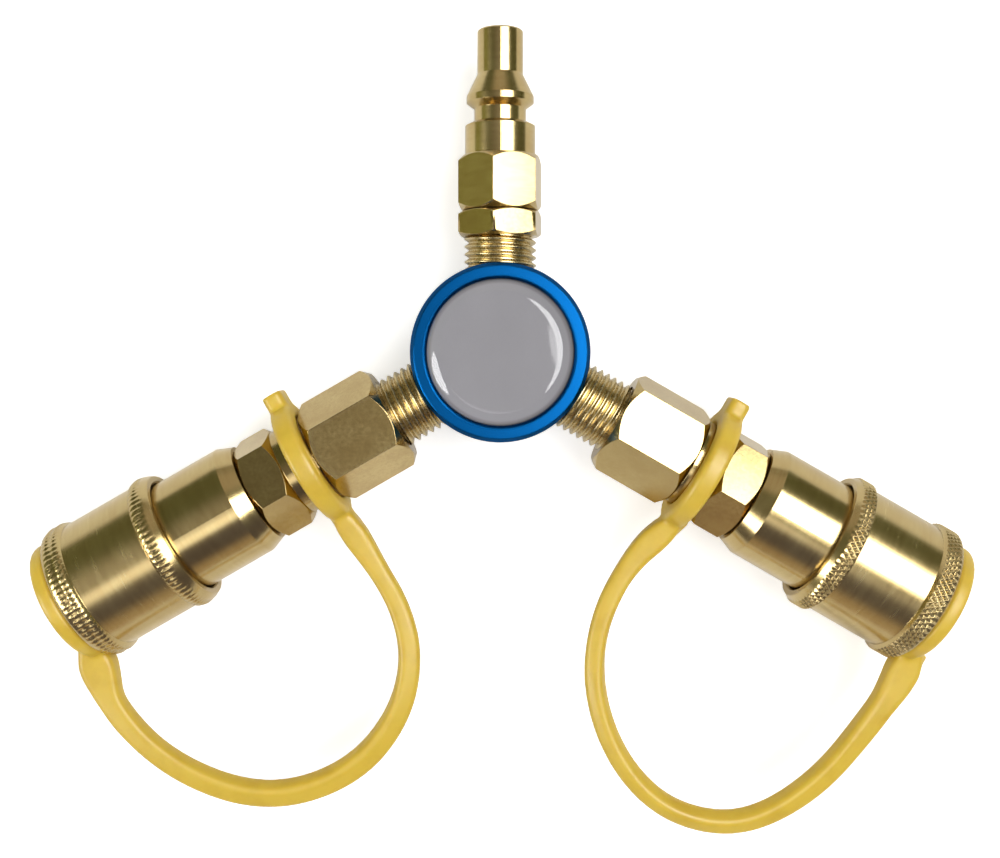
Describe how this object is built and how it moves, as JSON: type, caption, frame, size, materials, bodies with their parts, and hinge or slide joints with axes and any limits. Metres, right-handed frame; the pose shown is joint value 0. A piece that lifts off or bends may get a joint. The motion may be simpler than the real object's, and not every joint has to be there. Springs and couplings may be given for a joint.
{
  "type": "quick-connect y fitting",
  "caption": "Round hub that splits one quick-connect inlet plug into two spring-sleeve outlet sockets, each closed by a tethered rubber dust plug.",
  "frame": {"origin": "centre of the hub's flat back face", "axes": "+Z out of the hub's back through its badge, +Y along the inlet plug, +X to the right seen from the badge side"},
  "size_m": [0.1723, 0.1488, 0.0264],
  "materials": {
    "blue_anodised_hub": "satin blue anodised",
    "grey_badge": "printed vinyl",
    "clear_resin": "poured clear resin",
    "turned_brass": "turned",
    "milled_brass": "drawn hexagon bar",
    "barrel_brass": "turned, dull zinc-yellow",
    "sleeve_brass": "turned and knurled",
    "black_seal": "moulded nitrile",
    "spring_steel": "drawn wire",
    "ball_steel": "ground and polished",
    "yellow_rubber": "moulded soft vinyl"
  },
  "bodies": {
    "fitting": {"hub_body": "blue_anodised_hub", "badge_disc": "grey_badge", "badge_dome": "clear_resin", "inlet_nipple": "turned_brass", "inlet_plug": "turned_brass", "left_outlet_nipple": "turned_brass", "left_hex_coupling": "milled_brass", "left_socket_tail": "milled_brass", "left_tail_seal": "black_seal", "left_socket_barrel": "barrel_brass", "left_valve_guide": "barrel_brass", "left_valve_spring": "spring_steel", "left_nose_seal": "black_seal", "left_sleeve_spring": "spring_steel", "left_snap_ring": "spring_steel", "right_outlet_nipple": "turned_brass", "right_hex_coupling": "milled_brass", "right_socket_tail": "milled_brass", "right_tail_seal": "black_seal", "right_socket_barrel": "barrel_brass", "right_valve_guide": "barrel_brass", "right_valve_spring": "spring_steel", "right_nose_seal": "black_seal", "right_sleeve_spring": "spring_steel", "right_snap_ring": "spring_steel"},
    "left_sleeve": {"left_release_sleeve": "sleeve_brass"},
    "left_valve": {"left_valve_poppet": "barrel_brass", "left_poppet_seal": "black_seal"},
    "left_tether": {"left_strap_ring": "yellow_rubber", "left_dust_strap": "yellow_rubber"},
    "left_cap": {"left_dust_plug": "yellow_rubber"},
    "left_ball_1": {"left_locking_ball_1": "ball_steel"},
    "left_ball_2": {"left_locking_ball_2": "ball_steel"},
    "left_ball_3": {"left_locking_ball_3": "ball_steel"},
    "left_ball_4": {"left_locking_ball_4": "ball_steel"},
    "left_ball_5": {"left_locking_ball_5": "ball_steel"},
    "left_ball_6": {"left_locking_ball_6": "ball_steel"},
    "right_sleeve": {"right_release_sleeve": "sleeve_brass"},
    "right_valve": {"right_valve_poppet": "barrel_brass", "right_poppet_seal": "black_seal"},
    "right_tether": {"right_strap_ring": "yellow_rubber", "right_dust_strap": "yellow_rubber"},
    "right_cap": {"right_dust_plug": "yellow_rubber"},
    "right_ball_1": {"right_locking_ball_1": "ball_steel"},
    "right_ball_2": {"right_locking_ball_2": "ball_steel"},
    "right_ball_3": {"right_locking_ball_3": "ball_steel"},
    "right_ball_4": {"right_locking_ball_4": "ball_steel"},
    "right_ball_5": {"right_locking_ball_5": "ball_steel"},
    "right_ball_6": {"right_locking_ball_6": "ball_steel"}
  },
  "joints": [
    {"name": "left_sleeve_pull", "type": "slide", "parent": "fitting", "child": "left_sleeve", "axis": [0.866, 0.5, 0], "range_m": [0, 0.0048], "stiffness_N_per_m": 2000, "springref_m": -0.004, "deforming": ["left_sleeve_spring"]},
    {"name": "left_valve_push", "type": "slide", "parent": "fitting", "child": "left_valve", "axis": [0.866, 0.5, 0], "range_m": [0, 0.0028], "stiffness_N_per_m": 300, "springref_m": -0.003, "deforming": ["left_valve_spring"]},
    {"name": "left_ball_1_lift", "type": "slide", "parent": "fitting", "child": "left_ball_1", "axis": [0, 0, 1], "range_m": [0, 0.00077]},
    {"name": "left_ball_2_lift", "type": "slide", "parent": "fitting", "child": "left_ball_2", "axis": [0.433, -0.75, 0.5], "range_m": [0, 0.00077]},
    {"name": "left_ball_3_lift", "type": "slide", "parent": "fitting", "child": "left_ball_3", "axis": [0.433, -0.75, -0.5], "range_m": [0, 0.00077]},
    {"name": "left_ball_4_lift", "type": "slide", "parent": "fitting", "child": "left_ball_4", "axis": [0, 0, -1], "range_m": [0, 0.00077]},
    {"name": "left_ball_5_lift", "type": "slide", "parent": "fitting", "child": "left_ball_5", "axis": [-0.433, 0.75, -0.5], "range_m": [0, 0.00077]},
    {"name": "left_ball_6_lift", "type": "slide", "parent": "fitting", "child": "left_ball_6", "axis": [-0.433, 0.75, 0.5], "range_m": [0, 0.00077]},
    {"name": "left_tether_swivel", "type": "hinge", "parent": "fitting", "child": "left_tether", "pos_m": [-0.03494, -0.02017, 0.0095], "axis": [-0.866, -0.5, 0], "continuous": true},
    {"name": "left_cap_pull", "type": "slide", "parent": "left_tether", "child": "left_cap", "axis": [-0.866, -0.5, 0], "range_m": [0, 0.03], "deforming": ["left_dust_strap"]},
    {"name": "right_sleeve_pull", "type": "slide", "parent": "fitting", "child": "right_sleeve", "axis": [-0.866, 0.5, 0], "range_m": [0, 0.0048], "stiffness_N_per_m": 2000, "springref_m": -0.004, "deforming": ["right_sleeve_spring"]},
    {"name": "right_valve_push", "type": "slide", "parent": "fitting", "child": "right_valve", "axis": [-0.866, 0.5, 0], "range_m": [0, 0.0028], "stiffness_N_per_m": 300, "springref_m": -0.003, "deforming": ["right_valve_spring"]},
    {"name": "right_ball_1_lift", "type": "slide", "parent": "fitting", "child": "right_ball_1", "axis": [0, 0, 1], "range_m": [0, 0.00077]},
    {"name": "right_ball_2_lift", "type": "slide", "parent": "fitting", "child": "right_ball_2", "axis": [0.433, 0.75, 0.5], "range_m": [0, 0.00077]},
    {"name": "right_ball_3_lift", "type": "slide", "parent": "fitting", "child": "right_ball_3", "axis": [0.433, 0.75, -0.5], "range_m": [0, 0.00077]},
    {"name": "right_ball_4_lift", "type": "slide", "parent": "fitting", "child": "right_ball_4", "axis": [0, 0, -1], "range_m": [0, 0.00077]},
    {"name": "right_ball_5_lift", "type": "slide", "parent": "fitting", "child": "right_ball_5", "axis": [-0.433, -0.75, -0.5], "range_m": [0, 0.00077]},
    {"name": "right_ball_6_lift", "type": "slide", "parent": "fitting", "child": "right_ball_6", "axis": [-0.433, -0.75, 0.5], "range_m": [0, 0.00077]},
    {"name": "right_tether_swivel", "type": "hinge", "parent": "fitting", "child": "right_tether", "pos_m": [0.0372, -0.02148, 0.0095], "axis": [0.866, -0.5, 0], "continuous": true},
    {"name": "right_cap_pull", "type": "slide", "parent": "right_tether", "child": "right_cap", "axis": [0.866, -0.5, 0], "range_m": [0, 0.03], "deforming": ["right_dust_strap"]}
  ],
  "couplings": [
    {"joint": "left_ball_1_lift", "follows": "left_sleeve_pull", "ratio": 0.16},
    {"joint": "left_ball_2_lift", "follows": "left_sleeve_pull", "ratio": 0.16},
    {"joint": "left_ball_3_lift", "follows": "left_sleeve_pull", "ratio": 0.16},
    {"joint": "left_ball_4_lift", "follows": "left_sleeve_pull", "ratio": 0.16},
    {"joint": "left_ball_5_lift", "follows": "left_sleeve_pull", "ratio": 0.16},
    {"joint": "left_ball_6_lift", "follows": "left_sleeve_pull", "ratio": 0.16},
    {"joint": "right_ball_1_lift", "follows": "right_sleeve_pull", "ratio": 0.16},
    {"joint": "right_ball_2_lift", "follows": "right_sleeve_pull", "ratio": 0.16},
    {"joint": "right_ball_3_lift", "follows": "right_sleeve_pull", "ratio": 0.16},
    {"joint": "right_ball_4_lift", "follows": "right_sleeve_pull", "ratio": 0.16},
    {"joint": "right_ball_5_lift", "follows": "right_sleeve_pull", "ratio": 0.16},
    {"joint": "right_ball_6_lift", "follows": "right_sleeve_pull", "ratio": 0.16}
  ]
}
